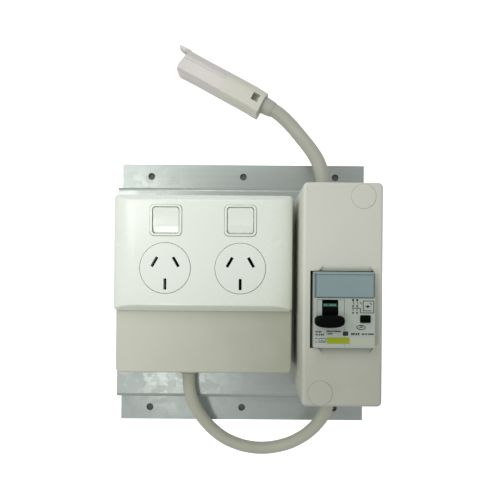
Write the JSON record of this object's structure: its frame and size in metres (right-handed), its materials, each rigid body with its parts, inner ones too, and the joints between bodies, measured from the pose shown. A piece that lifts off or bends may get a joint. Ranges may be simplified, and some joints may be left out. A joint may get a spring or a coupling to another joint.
{
  "type": "residual current device",
  "caption": "Residual current device in a surface enclosure, feeding a switched double socket outlet through a link lead, on a folded steel bracket with a supply lead and connector.",
  "frame": {"origin": "centre of the back of the bracket, on the surface that the part lies on", "axes": "+Z out of the front of the outlets, +Y towards the end where the supply lead leaves, +X towards the enclosure of the residual current device"},
  "size_m": [0.18, 0.2986, 0.0892],
  "materials": {
    "galvanised_steel": "spangled zinc on folded sheet, satin",
    "box_plastic": "warm beige moulding, fine texture",
    "outlet_plastic": "white moulding, smooth semi gloss",
    "enclosure_plastic": "light warm grey moulding, satin",
    "device_plastic": "light grey moulding, satin",
    "black_plastic": "black moulding, semi gloss",
    "clear_label": "clear blue grey moulding",
    "card": "printed card",
    "zinc_steel": "bright zinc plate",
    "brass": "rolled strip",
    "copper": "rolled copper strip",
    "gland_rubber": "soft grey moulding, dull",
    "lead_sheath": "white flexible sheath, satin",
    "connector_plastic": "white moulding, semi gloss",
    "winding": "wound and taped coil"
  },
  "bodies": {
    "frame": {"mounting_bracket": "galvanised_steel", "outlet_box": "box_plastic", "outlet_box_screw_left": "zinc_steel", "outlet_box_screw_right": "zinc_steel", "outlet_cover_plate": "outlet_plastic", "outlet_grid_plate": "outlet_plastic", "outlet_plate_screw_left": "zinc_steel", "outlet_plate_screw_right": "zinc_steel", "socket_face_left": "outlet_plastic", "socket_face_right": "outlet_plastic", "earth_bar": "brass", "neutral_bar": "brass", "active_contact_left": "brass", "active_contact_right": "brass", "outlet_rear_housing": "outlet_plastic", "switch_bezel_left": "outlet_plastic", "switch_bezel_right": "outlet_plastic", "enclosure_base": "enclosure_plastic", "enclosure_fixing_screw_upper": "zinc_steel", "enclosure_fixing_screw_lower": "zinc_steel", "enclosure_cover": "enclosure_plastic", "cover_screw_upper": "zinc_steel", "cover_screw_lower": "zinc_steel", "screw_cap_upper": "enclosure_plastic", "screw_cap_lower": "enclosure_plastic", "din_rail": "zinc_steel", "device_case_left": "device_plastic", "device_case_right": "device_plastic", "case_rivet_upper": "zinc_steel", "case_rivet_lower": "zinc_steel", "label_card": "card", "toggle_pin": "zinc_steel", "fixed_contact": "copper", "trip_relay": "black_plastic", "sensing_toroid": "winding", "test_spring": "zinc_steel", "terminal_clamp_upper_left": "zinc_steel", "terminal_clamp_upper_right": "zinc_steel", "terminal_clamp_lower_left": "zinc_steel", "terminal_clamp_lower_right": "zinc_steel", "terminal_screw_upper_left": "zinc_steel", "terminal_screw_upper_right": "zinc_steel", "terminal_screw_lower_left": "zinc_steel", "terminal_screw_lower_right": "zinc_steel", "link_gland_outlet": "gland_rubber", "link_gland_enclosure": "gland_rubber", "supply_gland": "gland_rubber", "link_cable": "lead_sheath", "supply_cable": "lead_sheath", "connector_rear": "connector_plastic", "connector_front": "connector_plastic"},
    "left_rocker": {"rocker_left": "outlet_plastic"},
    "right_rocker": {"rocker_right": "outlet_plastic"},
    "left_blade": {"switch_blade_left": "brass"},
    "right_blade": {"switch_blade_right": "brass"},
    "toggle": {"toggle_lever": "black_plastic"},
    "contact_arm": {"moving_contact": "copper"},
    "flap": {"label_flap": "clear_label"},
    "button": {"test_button": "black_plastic"},
    "clip": {"rail_clip": "black_plastic"}
  },
  "joints": [
    {"name": "left_rocker_tilt", "type": "hinge", "parent": "frame", "child": "left_rocker", "pos_m": [-0.0489, 0.0473, 0.051], "axis": [1, 0, 0], "range_deg": [0, 14]},
    {"name": "right_rocker_tilt", "type": "hinge", "parent": "frame", "child": "right_rocker", "pos_m": [-0.0009, 0.0473, 0.051], "axis": [1, 0, 0], "range_deg": [0, 14]},
    {"name": "left_blade_rock", "type": "hinge", "parent": "frame", "child": "left_blade", "pos_m": [-0.0489, 0.0473, 0.0405], "axis": [1, 0, 0], "range_deg": [0, 7]},
    {"name": "right_blade_rock", "type": "hinge", "parent": "frame", "child": "right_blade", "pos_m": [-0.0009, 0.0473, 0.0405], "axis": [1, 0, 0], "range_deg": [0, 7]},
    {"name": "toggle_tilt", "type": "hinge", "parent": "frame", "child": "toggle", "pos_m": [0.0529, -0.0089, 0.072], "axis": [-1, 0, 0], "range_deg": [0, 38]},
    {"name": "contact_swing", "type": "hinge", "parent": "frame", "child": "contact_arm", "pos_m": [0.0525, -0.014, 0.058], "axis": [1, 0, 0], "range_deg": [0, 15.2]},
    {"name": "flap_hinge", "type": "hinge", "parent": "frame", "child": "flap", "pos_m": [0.0613, 0.01362, 0.08032], "axis": [-1, 0, 0], "range_deg": [0, 95]},
    {"name": "test_press", "type": "slide", "parent": "frame", "child": "button", "axis": [0, 0, -1], "range_m": [0, 0.0012], "stiffness_N_per_m": 800, "deforming": ["test_spring"]},
    {"name": "clip_slide", "type": "slide", "parent": "frame", "child": "clip", "axis": [0, -1, 0], "range_m": [0, 0.003], "stiffness_N_per_m": 600}
  ],
  "couplings": [
    {"joint": "left_blade_rock", "follows": "left_rocker_tilt", "ratio": 0.5},
    {"joint": "right_blade_rock", "follows": "right_rocker_tilt", "ratio": 0.5},
    {"joint": "contact_swing", "follows": "toggle_tilt", "ratio": 0.4}
  ]
}
